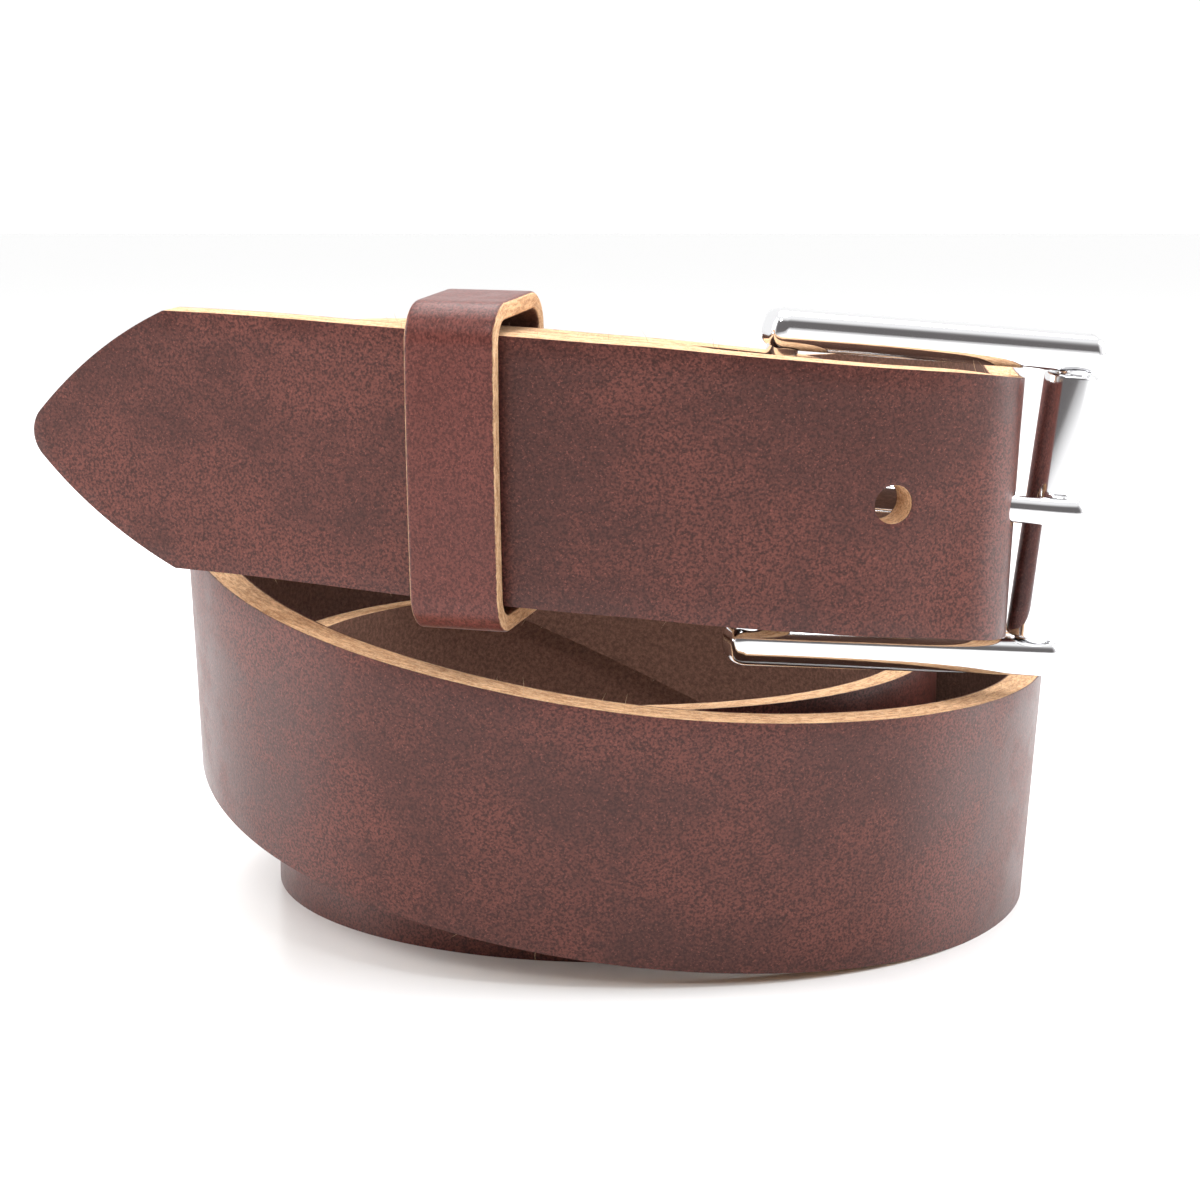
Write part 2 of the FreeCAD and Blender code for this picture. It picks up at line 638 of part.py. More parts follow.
# ---- the whole belt ------------------------------------------------------------------------
def finish_part(thing, label):
    """Names a part and moves it so that the belt stands centred on the origin."""
    thing.Label = label
    centred = FreeCAD.Placement(Vector(-size("centre_x"), -size("centre_y"), 0),
                                FreeCAD.Rotation())
    thing.Placement = centred.multiply(thing.Placement)
    parts.append(thing)


def make_belt():
    finish_part(make_strap(), "strap")
    finish_part(make_buckle_frame(), "buckle_frame")
    finish_part(make_roller(), "roller")
    finish_part(make_prong(), "prong")
    pierced = boolean("Cut", "pierced_keeper", make_keeper(), [make_staple("staple_holes")])
    finish_part(pierced, "keeper")
    finish_part(make_staple("staple"), "keeper_staple")
    for number, place in enumerate(screw_places(), start=1):
        post, screw = make_screw(number, place)
        finish_part(post, "screw_post_%d" % number)
        finish_part(screw, "screw_%d" % number)
    doc.recompute()


def check_and_write():
    """Stops on any failed object or shape, then writes each part's STEP file."""
    for thing in doc.Objects:
        if "Invalid" in thing.State or "Error" in thing.State:
            raise RuntimeError("%s failed: %s" % (thing.Name, thing.State))
    os.makedirs("parts", exist_ok=True)
    for part in parts:
        shape = part.Shape
        if shape.isNull() or not shape.isValid() or not shape.Solids:
            raise RuntimeError(part.Label + " has no valid solid")
        shape.exportStep("parts/%s.step" % part.Label)
        print("%-16s %9.1f mm3  %d solid" % (part.Label, shape.Volume, len(shape.Solids)))


make_belt()
check_and_write()
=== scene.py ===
"""Looks for the coiled, fastened leather belt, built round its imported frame. Metres."""

import math

import bpy
import numpy as np
from mathutils import Matrix, Vector


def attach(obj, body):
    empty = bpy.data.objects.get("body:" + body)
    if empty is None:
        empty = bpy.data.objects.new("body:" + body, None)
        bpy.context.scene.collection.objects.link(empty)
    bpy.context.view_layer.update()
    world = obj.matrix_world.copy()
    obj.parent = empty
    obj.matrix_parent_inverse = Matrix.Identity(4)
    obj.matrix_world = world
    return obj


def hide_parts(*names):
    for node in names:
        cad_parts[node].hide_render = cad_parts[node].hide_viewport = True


bl_info = {
    "name": "Coiled leather belt",
    "version": (1, 0, 0),
    "blender": (4, 5, 0),
    "location": "View3D > Sidebar > Belt",
    "description": "Builds a fastened leather belt with a roller buckle on a studio floor",
    "category": "Add Mesh",
}

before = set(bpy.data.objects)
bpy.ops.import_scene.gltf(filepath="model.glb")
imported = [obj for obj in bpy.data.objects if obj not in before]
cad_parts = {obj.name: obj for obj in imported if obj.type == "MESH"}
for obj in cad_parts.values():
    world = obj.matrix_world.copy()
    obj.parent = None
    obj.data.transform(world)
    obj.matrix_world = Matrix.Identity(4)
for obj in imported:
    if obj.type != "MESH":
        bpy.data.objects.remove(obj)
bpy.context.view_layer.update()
MM = 0.001

# ---- where the belt lies (mm, as in the design; the belt is then centred on the origin) ------
# the coil: angle travelled from the front (degrees), radius and height of the strap's middle
# line, and outward lean (degrees), first turn to last; the rows from 690 to 810 and FRONT follow
# a numerical fit, the other rows were chosen by hand, and a script scaled all four tables
COIL = [
    (45, 53.6, 62.7, 3.0), (60, 52.0, 61.7, 2.5), (90, 48.9, 59.3, 2.0), (120, 45.8, 55.2, 1.5),
    (150, 42.0, 49.0, 1.0), (180, 41.5, 39.6, 0.5), (210, 41.4, 29.8, 0.0), (240, 41.8, 22.4, 0.0),
    (270, 42.4, 17.9, 0.0), (300, 43.3, 16.3, 0.0), (330, 44.1, 15.9, 0.0), (360, 44.7, 15.9, 0.0),
    (390, 45.0, 15.9, 0.0), (420, 45.1, 15.9, 0.0), (450, 45.2, 15.9, 0.0), (480, 45.3, 15.9, 0.0),
    (510, 46.2, 15.9, 0.0), (540, 47.6, 15.9, 0.0), (570, 49.9, 15.9, 0.5), (600, 52.5, 15.9, 1.5),
    (630, 54.9, 15.9, 3.0), (660, 57.4, 15.9, 5.0), (690, 58.9, 16.8, 7.0), (720, 57.8, 19.2, 8.0),
    (750, 58.1, 24.3, 6.5), (780, 56.9, 30.0, 3.5), (810, 56.0, 35.9, 2.0), (840, 55.9, 41.3, 1.5),
    (870, 55.8, 46.0, 1.0), (900, 55.6, 49.7, 1.0), (930, 54.6, 52.4, 1.0), (960, 52.9, 54.4, 1.0),
    (990, 51.0, 55.6, 1.5),
]
COIL_STEP = 15
RIGHT_SIDE = [(52.0, -7.6, 55.9, 2.0), (50.8, -16.8, 56.2, 2.0), (49.8, -25.7, 56.3, 2.5)]
BEND = [(49.4, -33.3, 56.3, 2.5), (48.3, -38.3, 56.7, 3.0), (46.0, -41.7, 57.2, 3.0),
        (42.4, -44.1, 57.8, 3.5)]
FRONT = [
    (33.1, -48.5, 58.8, 4.0), (26.1, -50.4, 59.5, 4.0), (19.2, -51.6, 60.2, 4.0),
    (12.2, -52.1, 60.9, 4.0), (5.1, -52.0, 61.6, 4.0), (-1.9, -51.5, 62.1, 4.0),
    (-8.9, -50.4, 62.6, 4.0), (-15.9, -48.8, 63.0, 4.0), (-22.9, -46.3, 63.4, 4.0),
    (-30.0, -43.4, 63.8, 4.0), (-37.1, -40.3, 64.2, 4.0), (-51.5, -33.9, 64.7, 4.0),
    (-64.9, -27.9, 64.9, 4.0), (-70.3, -25.4, 65.0, 4.0),
]
FOLDED = range(4, 9)
COIL_MIDDLE = np.array([2.2, 5.5, 0.0])
HEEL_BAR = np.array([19.7, -42.6, 59.6])
FRONT_BAR_WAY = np.array([36.4, 12.0, -3.6])
FOLD_TURNS = range(-90, 91, 30)
BUCKLE_LEAN = 4.8
KEEPER_AT = 7
KEEPER_SKEW = 2.5
TO_FRAME = np.array([4.6, -3.44, 0.0])
UP = np.array([0.0, 0.0, 1.0])
PRONG_HOLE_STRETCH = 0.7 * MM
PALE_FIBRE = (0.80, 0.58, 0.38)
LOOSE_FIBRES = 520
LOOSE_FIBRE_SEED = 11
LONGEST_FIBRE = 2.2 * MM
FIBRE_RADIUS = 0.03 * MM
HALF_SLOT = (10.5 * MM, 2.5 * MM)
CAMERA_PLACE = (0.0046, -0.36554, 0.0994)
CAMERA_TILT_DOWN = 9.5
CAMERA_LENS = 80.2


# ---- sizes and colours a user would change ---------------------------------------------------
def length(name, description, millimetres):
    return bpy.props.FloatProperty(name=name, description=description, default=millimetres * MM,
                                   unit="LENGTH", precision=5)


def colour(name, description, rgb):
    return bpy.props.FloatVectorProperty(name=name, description=description, default=rgb,
                                         subtype="COLOR", size=3, min=0, max=1)


class StrapSizes(bpy.types.PropertyGroup):
    """Sizes of the strap, as it is cut before it is worn."""
    width: length("Width", "Width of the strap", 32.0)
    thick: length("Thickness", "Thickness of the leather", 3.8)
    layer_gap: length("Layer gap", "Gap behind the billet", 0.3)
    fold_gap: length("Fold gap", "Gap between the fold and the heel bar", 0.25)
    tail_gap: length("Tail gap", "Gap between the fold's two layers", 0.5)
    edge_round: length("Edge rounding", "Rounding along the cut edges", 0.3)
    hole_width: length("Hole width", "Width of a punched hole", 4.7)
    hole_pitch: length("Hole pitch", "Distance from hole to hole", 18.5)
    hole_count: bpy.props.IntProperty(name="Holes", description="Number of punched holes",
                                      default=5, min=1)
    first_hole: length("First hole", "Distance from the tip to its nearest hole", 110.0)
    point_length: length("Point", "Length of the pointed tip", 20.0)
    nose: length("Nose", "Radius at the very tip", 4.0)
    side_bow: bpy.props.FloatProperty(name="Side bow", description="Radius of the point's sides, "
                                      "in lengths of the side", default=2.6, min=1)


class BuckleSizes(bpy.types.PropertyGroup):
    """Sizes of the roller buckle and its prong."""
    bar_pitch: length("Bar pitch", "Heel bar to roller", 38.8)
    heel_bar: length("Heel bar", "Diameter of the heel bar", 3.8)
    axle: length("Axle", "Diameter of the roller's axle", 4.2)
    rail_height: length("Rail height", "Height of a side rail", 4.8)
    rail_depth: length("Rail depth", "Depth of a side rail", 5.4)
    window: length("Window", "Height of the opening between the rails", 34.0)
    heel_end: length("Heel end", "Rail past the heel bar", 2.3)
    front_end: length("Front end", "Rail past the axle", 3.5)
    roller: length("Roller", "Diameter of the roller", 6.6)
    end_gap: length("End gap", "Gap at each end of the roller", 0.3)
    prong_width: length("Prong width", "Width of the prong", 3.6)
    prong_thick: length("Prong thickness", "Thickness of the prong", 2.7)
    prong_reach: length("Prong reach", "Heel bar to the prong's tip", 41.3)
    prong_eye: length("Prong eye", "Diameter of the prong's eye", 7.0)


class KeeperSizes(bpy.types.PropertyGroup):
    """Sizes of the sliding keeper loop."""
    width: length("Width", "Width of the loop's strip", 11.0)
    thick: length("Thickness", "Thickness of the strip", 2.2)
    half_side: length("Half height", "Middle of the loop to its inner side", 17.4)
    front: length("Front", "Billet's middle to the loop's inner front", 2.8)
    back: length("Back", "Billet's middle to the loop's inner back", 12.2)
    corner: length("Corner", "Inner corner radius", 2.4)
    seam: length("Seam", "Gap between the butted ends", 0.3)


class Finishes(bpy.types.PropertyGroup):
    """Colours of the leather and of the metal."""
    grain: colour("Grain side", "Dyed grain side of the strap", (0.088, 0.027, 0.021))
    grain_red: colour("Grain tint", "Redder patches in the dye", (0.150, 0.045, 0.034))
    flesh: colour("Flesh side", "Suede back of the strap", (0.155, 0.076, 0.052))
    edge: colour("Raw edge", "Undyed cut edge", (0.78, 0.49, 0.27))
    edge_dark: colour("Edge shadow", "Darker fibres in the cut edge", (0.42, 0.22, 0.11))
    keeper: colour("Keeper", "Dyed side of the keeper", (0.135, 0.038, 0.030))
    steel: colour("Steel", "Polished steel", (0.74, 0.73, 0.71))
    floor: colour("Floor", "Studio floor", (0.93, 0.93, 0.93))


def settings():
    return bpy.context.scene.belt


class BeltSettings(bpy.types.PropertyGroup):
    """All the belt's settings."""
    strap: bpy.props.PointerProperty(type=StrapSizes)
    buckle: bpy.props.PointerProperty(type=BuckleSizes)
    keeper: bpy.props.PointerProperty(type=KeeperSizes)
    finish: bpy.props.PointerProperty(type=Finishes)


# ---- the strap's way through space -----------------------------------------------------------
def unit(vector):
    return vector / np.linalg.norm(vector)


def slopes(knots, values):
    """Slopes of the smooth curve through the values; its ends leave as a parabola would."""
    count = len(knots)
    step = np.diff(knots)
    rise = np.diff(values, axis=0) / step[:, None]
    system = np.zeros((count, count))
    target = np.zeros_like(values)
    for n in range(1, count - 1):
        before, after = step[n - 1], step[n]
        system[n, n - 1:n + 2] = 1 / before, 2 * (1 / before + 1 / after), 1 / after
        target[n] = 3 * (rise[n - 1] / before + rise[n] / after)
    system[0, 0] = system[-1, -1] = 1
    target[0] = rise[0] + (rise[0] - rise[1]) * step[0] / (step[0] + step[1])
    target[-1] = rise[-1] + (rise[-1] - rise[-2]) * step[-1] / (step[-1] + step[-2])
    return np.linalg.solve(system, target)


def smooth_through(knots, values, wanted):
    """Values of the smooth curve at the wanted places, and its slopes there."""
    knots, values = np.asarray(knots, float), np.asarray(values, float)
    tangents = slopes(knots, values)
    place = np.clip(np.searchsorted(knots, wanted, side="right") - 1, 0, len(knots) - 2)
    span = (knots[place + 1] - knots[place])[:, None]
    share = ((wanted - knots[place]) / span[:, 0])[:, None]
    near, far = values[place], values[place + 1]
    leave, arrive = tangents[place] * span, tangents[place + 1] * span
    point = ((2 * share**3 - 3 * share**2 + 1) * near + (share**3 - 2 * share**2 + share) * leave
             + (3 * share**2 - 2 * share**3) * far + (share**3 - share**2) * arrive)
    slope = ((6 * share**2 - 6 * share) * (near - far) + (3 * share**2 - 4 * share + 1) * leave
             + (3 * share**2 - 2 * share) * arrive) / span
    return point, slope


def width_way(along, lean):
    """The direction across the strap: as upright as its way allows, then leant out."""
    upright = unit(UP - along * along.dot(UP))
    outward = np.cross(upright, along)
    return upright * math.cos(math.radians(lean)) + outward * math.sin(math.radians(lean))


ALONG = unit(FRONT_BAR_WAY)
ACROSS = width_way(-ALONG, BUCKLE_LEAN)
OUT = np.cross(ALONG, ACROSS)


def layer_behind_front(depth, way=1):
    """Stations of a layer that lies this deep behind the billet, from the buckle to the left."""
    stations = []
    for place in FOLDED:
        x, y, z, lean = FRONT[place]
        before, after = FRONT[place - 1], FRONT[place + 1]
        along = unit(np.array([after[0] - before[0], after[1] - before[1], 0]))
        stations.append((np.array([x, y, z]) + np.cross(along, UP) * depth, lean * way))
    return stations


def coil_stations():
    """Points of the coil and their leans, evenly spaced by angle."""
    table = np.array(COIL, float)
    angles = np.arange(table[0, 0], table[-1, 0] + 1, COIL_STEP)
    shape, _ = smooth_through(table[:, 0], table[:, 1:], angles)
    stations = []
    for angle, (radius, height, lean) in zip(np.radians(angles), shape):
        way = np.array([-math.sin(angle), -math.cos(angle), 0])
        stations.append((COIL_MIDDLE + way * radius + UP * height, lean))
    return stations


def strap_stations():
    """The strap's middle line: points, each with the lean across it, or None in the fold."""
    sizes = settings().strap
    thick, layer_gap = sizes.thick / MM, sizes.layer_gap / MM
    tail_gap, fold_gap = sizes.tail_gap / MM, sizes.fold_gap / MM
    coil = coil_stations()
    start, start_lean = coil[0]
    inward = unit((COIL_MIDDLE - start) * [1, 1, 0])
    stations = [(start + inward * (thick + tail_gap), -start_lean)]
    stations += layer_behind_front(2 * thick + layer_gap + tail_gap, way=-1)[::-1]
    radius = settings().buckle.heel_bar / MM / 2 + fold_gap + thick / 2
    for turn in FOLD_TURNS:
        swing = math.radians(turn)
        stations.append((HEEL_BAR + (ALONG * math.cos(swing) + OUT * math.sin(swing)) * radius,
                         None))
    stations += layer_behind_front(thick + layer_gap) + coil
    stations += [(np.array([x, y, z]), lean) for x, y, z, lean in RIGHT_SIDE + BEND + FRONT]
    return stations


class Route:
    """A line in space that flat things are bent along, with the ways across and out of it."""

    def __init__(self, points, across_ways, knots=None):
        if knots is None:
            knots = np.concatenate([[0], np.cumsum(np.linalg.norm(np.diff(points, axis=0), axis=1))])
        self.knots = knots
        fine = np.linspace(0, knots[-1], 12000)
        line, slope = smooth_through(knots, points, fine)
        across, _ = smooth_through(knots, across_ways, fine)
        self.travelled = np.concatenate([[0], np.cumsum(np.linalg.norm(np.diff(line, axis=0), axis=1))])
        self.line = line
        self.along = slope / np.linalg.norm(slope, axis=1)[:, None]
        across -= self.along * np.sum(across * self.along, axis=1)[:, None]
        self.across = across / np.linalg.norm(across, axis=1)[:, None]
        self.out = np.cross(self.across, self.along)
        self.length = self.travelled[-1]
        self.fine = fine

    def sample(self, table, distance):
        return np.stack([np.interp(distance, self.travelled, table[:, axis])
                         for axis in range(3)], axis=1)

    def distance_at_knot(self, number):
        return float(np.interp(self.knots[number], self.fine, self.travelled))

    def bend(self, flat):
        """Flat points (along, down across, out) as they lie on the route."""
        distance = flat[:, 0]
        return (self.sample(self.line, distance) - self.sample(self.across, distance) * flat[:, 1:2]
                + self.sample(self.out, distance) * flat[:, 2:3])


def strap_route():
    stations = strap_stations()
    points = np.array([point for point, _ in stations])
    steps = np.linalg.norm(np.diff(points, axis=0), axis=1)
    knots = np.concatenate([[0], np.cumsum(steps)])
    _, slope = smooth_through(knots, points, knots)
    ways = []
    for (_, lean), way in zip(stations, slope):
        along = unit(way)
        across = unit(ACROSS - along * along.dot(ACROSS)) if lean is None \
            else width_way(along, lean)
        ways.append(across)
    return Route((points + TO_FRAME) * MM, np.array(ways), knots * MM)


# ---- mesh helpers ----------------------------------------------------------------------------
def deselect():
    if bpy.context.object and bpy.context.object.mode != "OBJECT":
        bpy.ops.object.mode_set(mode="OBJECT")
    bpy.ops.object.select_all(action="DESELECT")


def select_only(piece):
    deselect()
    piece.select_set(True)
    bpy.context.view_layer.objects.active = piece


def settle(piece, name):
    """Names the piece and puts its place into its mesh."""
    select_only(piece)
    bpy.ops.object.transform_apply(location=True, rotation=True, scale=True)
    piece.name = piece.data.name = name
    return piece


def apply_modifier(piece, kind, **values):
    modifier = piece.modifiers.new(kind.lower(), kind)
    for key, value in values.items():
        setattr(modifier, key, value)
    select_only(piece)
    bpy.ops.object.modifier_apply(modifier=modifier.name)


def flat_strip(name, long, wide, thick, steps, rows):
    """A flat closed strip from x = 0, its length divided so that it can be bent."""
    deselect()
    bpy.ops.mesh.primitive_grid_add(x_subdivisions=steps, y_subdivisions=rows, size=1,
                                    location=(long / 2, 0, 0))
    strip = bpy.context.object
    strip.scale = (long, wide, 1)
    settle(strip, name)
    apply_modifier(strip, "SOLIDIFY", thickness=thick, offset=0)
    return strip


def slab(name, outline, depth):
    """A flat outline made into a solid of this depth, half on each side of z = 0."""
    mesh = bpy.data.meshes.new(name)
    mesh.from_pydata([(x, y, -depth / 2) for x, y in outline], [], [range(len(outline))])
    solid = bpy.data.objects.new(name, mesh)
    bpy.context.scene.collection.objects.link(solid)
    select_only(solid)
    bpy.ops.object.mode_set(mode="EDIT")
    bpy.ops.mesh.select_all(action="SELECT")
    bpy.ops.mesh.extrude_region_move(TRANSFORM_OT_translate={"value": (0, 0, depth)})
    bpy.ops.mesh.select_all(action="SELECT")
    bpy.ops.mesh.normals_make_consistent(inside=False)
    bpy.ops.object.mode_set(mode="OBJECT")
    return solid


def slant(tool, amount):
    """Leans an upright cutter along x by this much for each unit of height."""
    for vertex in tool.data.vertices:
        vertex.co.x += vertex.co.z * amount
    return tool


def cut_with(piece, tool, operation="DIFFERENCE"):
    apply_modifier(piece, "BOOLEAN", object=tool, operation=operation, solver="EXACT")
    bpy.data.objects.remove(tool)


def arc(centre, radius, start, end, count):
    """Points of an arc between two angles in degrees."""
    return [(centre[0] + radius * math.cos(math.radians(start + (end - start) * n / count)),
             centre[1] + radius * math.sin(math.radians(start + (end - start) * n / count)))
            for n in range(count + 1)]


def rounded_slot(middle, half_length, half_width, count=14):
    """The outline of a slot along x with half-round ends."""
    reach = half_length - half_width
    return (arc((middle + reach, 0), half_width, -90, 90, count)
            + arc((middle - reach, 0), half_width, 90, 270, count))


def keep_flat_places(piece):
    """Stores each point's place on the flat leather, for the materials, and as its UV map."""
    mesh = piece.data
    flat = np.empty(len(mesh.vertices) * 3)
    mesh.vertices.foreach_get("co", flat)
    stored = mesh.attributes.new("flat_place", "FLOAT_VECTOR", "POINT")
    stored.data.foreach_set("vector", flat)
    flat = flat.reshape(-1, 3)
    corners = np.empty(len(mesh.loops), int)
    mesh.loops.foreach_get("vertex_index", corners)
    layer = mesh.uv_layers.active or mesh.uv_layers.new(name="leather")
    layer.uv.foreach_set("vector", flat[corners][:, :2].ravel())
    return flat


def set_places(piece, places):
    piece.data.vertices.foreach_set("co", places.ravel())
    piece.data.update()


def smooth(piece, degrees=35):
    select_only(piece)
    bpy.ops.object.shade_smooth_by_angle(angle=math.radians(degrees))


def recalculate(piece):
    select_only(piece)
    bpy.ops.object.mode_set(mode="EDIT")
    bpy.ops.mesh.select_all(action="SELECT")
    bpy.ops.mesh.remove_doubles(threshold=1e-6)
    bpy.ops.mesh.normals_make_consistent(inside=False)
    bpy.ops.object.mode_set(mode="OBJECT")


def place_by(piece, origin, x_way, y_way, z_way):
    """Puts a piece that was made round the origin into its own local frame."""
    matrix = Matrix.Identity(4)
    for column, way in enumerate((x_way, y_way, z_way)):
        for row in range(3):
            matrix[row][column] = way[row]
    for row in range(3):
        matrix[row][3] = origin[row]
    select_only(piece)
    piece.matrix_world = matrix @ piece.matrix_world
    bpy.ops.object.transform_apply(location=True, rotation=True, scale=True)


def finish_piece(piece, material, body, slot, *nodes):
    """Gives a finished piece its material and its body, and hides the imported nodes it stands for."""
    piece.data.materials.clear()
    piece.data.materials.append(material)
    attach(piece, body)
    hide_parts(*nodes)
    return piece


# ---- materials -------------------------------------------------------------------------------
def add_node(tree, kind, **inputs):
    """A node with some of its inputs set or linked; names with _ for a space."""
    node = tree.nodes.new(kind)
    for key, value in inputs.items():
        socket = node.inputs[int(key[1:])] if key[0] == "i" and key[1:].isdigit() \
            else node.inputs[key.replace("_", " ")]
        if isinstance(value, bpy.types.NodeSocket):
            tree.links.new(value, socket)
        else:
            socket.default_value = value
    return node


def noise(tree, vector, scale, detail=3.0, roughness=0.6):
    return add_node(tree, "ShaderNodeTexNoise", Vector=vector, Scale=scale, Detail=detail,
                    Roughness=roughness).outputs["Fac"]


def ramp(tree, value, low, high, to_low=0.0, to_high=1.0):
    """The value stretched so that low to high becomes to_low to to_high, with soft ends."""
    node = add_node(tree, "ShaderNodeMapRange", Value=value, i1=low, i2=high, i3=to_low,
                    i4=to_high)
    node.interpolation_type = "SMOOTHSTEP"
    return node.outputs["Result"]


def calc(tree, operation, first, second=0.0):
    node = tree.nodes.new("ShaderNodeMath")
    node.operation = operation
    for socket, value in zip(node.inputs, (first, second)):
        if isinstance(value, bpy.types.NodeSocket):
            tree.links.new(value, socket)
        else:
            socket.default_value = value
    return node.outputs[0]


def blend_colour(tree, share, first, second):
    """A mix of two colours; each may be a socket or a tuple."""
    node = tree.nodes.new("ShaderNodeMix")
    node.data_type = "RGBA"
    for name, value in (("Factor", share), ("A", first), ("B", second)):
        socket = [s for s in node.inputs if s.name == name and (
            s.type == "RGBA" or (name == "Factor" and s.type == "VALUE"))][0]
        if isinstance(value, bpy.types.NodeSocket):
            tree.links.new(value, socket)
        else:
            socket.default_value = (*value, 1.0) if name != "Factor" else value
    return [s for s in node.outputs if s.type == "RGBA"][0]


def new_group(name, inputs, outputs):
    """An empty node group with these sockets; returns it with its input and output nodes."""
    group = bpy.data.node_groups.new(name, "ShaderNodeTree")
    for label, kind in inputs:
        group.interface.new_socket(label, in_out="INPUT", socket_type="NodeSocket" + kind)
    for label, kind in outputs:
        group.interface.new_socket(label, in_out="OUTPUT", socket_type="NodeSocket" + kind)
    return group, group.nodes.new("NodeGroupInput"), group.nodes.new("NodeGroupOutput")


def use_group(tree, group, **inputs):
    node = tree.nodes.new("ShaderNodeGroup")
    node.node_tree = group
    for key, value in inputs.items():
        socket = node.inputs[key]
        if isinstance(value, bpy.types.NodeSocket):
            tree.links.new(value, socket)
        else:
            socket.default_value = value
    return node


def pebble_group():
    """The pebbled grain of the dyed side: fine pores between small rounded pebbles."""
    name = "leather_pebble"
    if name in bpy.data.node_groups:
        return bpy.data.node_groups[name]
    group, start, end = new_group(name, [("Place", "Vector"), ("Pebble Scale", "Float")],
                                  [("Height", "Float"), ("Pores", "Float"), ("Clouds", "Float")])
    place, scale = start.outputs["Place"], start.outputs["Pebble Scale"]
    cells = add_node(group, "ShaderNodeTexVoronoi", Vector=place, Scale=scale)
    cells.feature = "SMOOTH_F1"
    fine = noise(group, place, 5200.0, 2.0)
    pits = noise(group, place, 3000.0, 3.0, 0.6)
    height = calc(group, "ADD", calc(group, "MULTIPLY", cells.outputs["Distance"], -0.7),
                  calc(group, "MULTIPLY", fine, 0.5))
    group.links.new(calc(group, "ADD", height, calc(group, "MULTIPLY", pits, 0.8)),
                    end.inputs["Height"])
    group.links.new(ramp(group, pits, 0.36, 0.62), end.inputs["Pores"])
    group.links.new(ramp(group, noise(group, place, 55.0, 5.0, 0.7), 0.38, 0.62),
                    end.inputs["Clouds"])
    return group


def fibre_group():
    """Cut fibres: streaks along the leather's thickness and length, with speckle."""
    name = "cut_fibres"
    if name in bpy.data.node_groups:
        return bpy.data.node_groups[name]
    group, start, end = new_group(name, [("Place", "Vector")],
                                  [("Height", "Float"), ("Speckle", "Float"), ("Streaks", "Float")])
    squeezed = add_node(group, "ShaderNodeMapping", Vector=start.outputs["Place"],
                        Scale=(0.22, 1.0, 1.0)).outputs["Vector"]
    streaks = noise(group, squeezed, 2600.0, 5.0, 0.75)
    speckle = noise(group, start.outputs["Place"], 3400.0, 4.0, 0.8)
    group.links.new(calc(group, "ADD", streaks, speckle), end.inputs["Height"])
    group.links.new(ramp(group, speckle, 0.46, 0.64), end.inputs["Speckle"])
    group.links.new(ramp(group, streaks, 0.38, 0.66), end.inputs["Streaks"])
    return group


def leather_material(name, dyed, dyed_tint, thick, gloss, pebble_scale, flesh_shade=1.0):
    """Leather with a dyed grain side, a raw cut edge and a suede back."""
    finish = settings().finish
    material = bpy.data.materials.new(name)
    material.use_nodes = True
    tree = material.node_tree
    shader = tree.nodes["Principled BSDF"]
    place_node = tree.nodes.new("ShaderNodeAttribute")
    place_node.attribute_name = "flat_place"
    place = place_node.outputs["Vector"]
    depth = add_node(tree, "ShaderNodeSeparateXYZ", Vector=place).outputs["Z"]
    ragged = calc(tree, "MULTIPLY", calc(tree, "SUBTRACT", noise(tree, place, 900.0, 5.0, 0.7), 0.5),
                  0.3 * MM)
    top = calc(tree, "ADD", depth, ragged)
    is_grain = ramp(tree, top, thick / 2 - 0.24 * MM, thick / 2 - 0.1 * MM)
    is_flesh = ramp(tree, top, -thick / 2 + 0.26 * MM, -thick / 2 + 0.1 * MM)
    pebble = use_group(tree, pebble_group(), **{"Place": place, "Pebble Scale": pebble_scale})
    fibres = use_group(tree, fibre_group(), Place=place)

    grain = blend_colour(tree, pebble.outputs["Clouds"], tuple(dyed), tuple(dyed_tint))
    dark = tuple(channel * 0.5 for channel in dyed)
    grain = blend_colour(tree, pebble.outputs["Pores"], dark, grain)
    pale = tuple(min(1.0, channel * 1.9) for channel in dyed_tint)
    flecks = ramp(tree, noise(tree, place, 3900.0, 2.0, 0.5), 0.60, 0.72, 0.0, 0.5)
    grain = blend_colour(tree, flecks, grain, pale)
    edge = blend_colour(tree, fibres.outputs["Streaks"], tuple(finish.edge_dark), tuple(finish.edge))
    edge = blend_colour(tree, calc(tree, "MULTIPLY", fibres.outputs["Speckle"], 0.55), edge,
                        PALE_FIBRE)
    flesh_colour = tuple(channel * flesh_shade for channel in finish.flesh)
    nap = noise(tree, place, 1500.0, 6.0, 0.8)
    flesh = blend_colour(tree, ramp(tree, nap, 0.35, 0.7), tuple(c * 0.55 for c in flesh_colour),
                         tuple(c * 1.25 for c in flesh_colour))
    colour_out = blend_colour(tree, is_grain, edge, grain)
    colour_out = blend_colour(tree, is_flesh, colour_out, flesh)
    tree.links.new(colour_out, shader.inputs["Base Color"])

    polish = ramp(tree, pebble.outputs["Clouds"], 0.0, 1.0, gloss - 0.04, gloss + 0.05)
    rough = calc(tree, "ADD", calc(tree, "MULTIPLY", is_grain, polish),
                 calc(tree, "MULTIPLY", calc(tree, "SUBTRACT", 1.0, is_grain), 0.92))
    tree.links.new(rough, shader.inputs["Roughness"])
    shader.inputs["Specular IOR Level"].default_value = 0.28

    grain_height = calc(tree, "MULTIPLY", calc(tree, "MULTIPLY", pebble.outputs["Height"], is_grain),
                        0.35)
    raw_height = calc(tree, "MULTIPLY", calc(tree, "MULTIPLY", fibres.outputs["Height"],
                                             calc(tree, "SUBTRACT", 1.0, is_grain)), 1.2)
    bump = add_node(tree, "ShaderNodeBump", Strength=0.55, Distance=0.12 * MM,
                    Height=calc(tree, "ADD", grain_height, raw_height))
    tree.links.new(bump.outputs["Normal"], shader.inputs["Normal"])
    return material


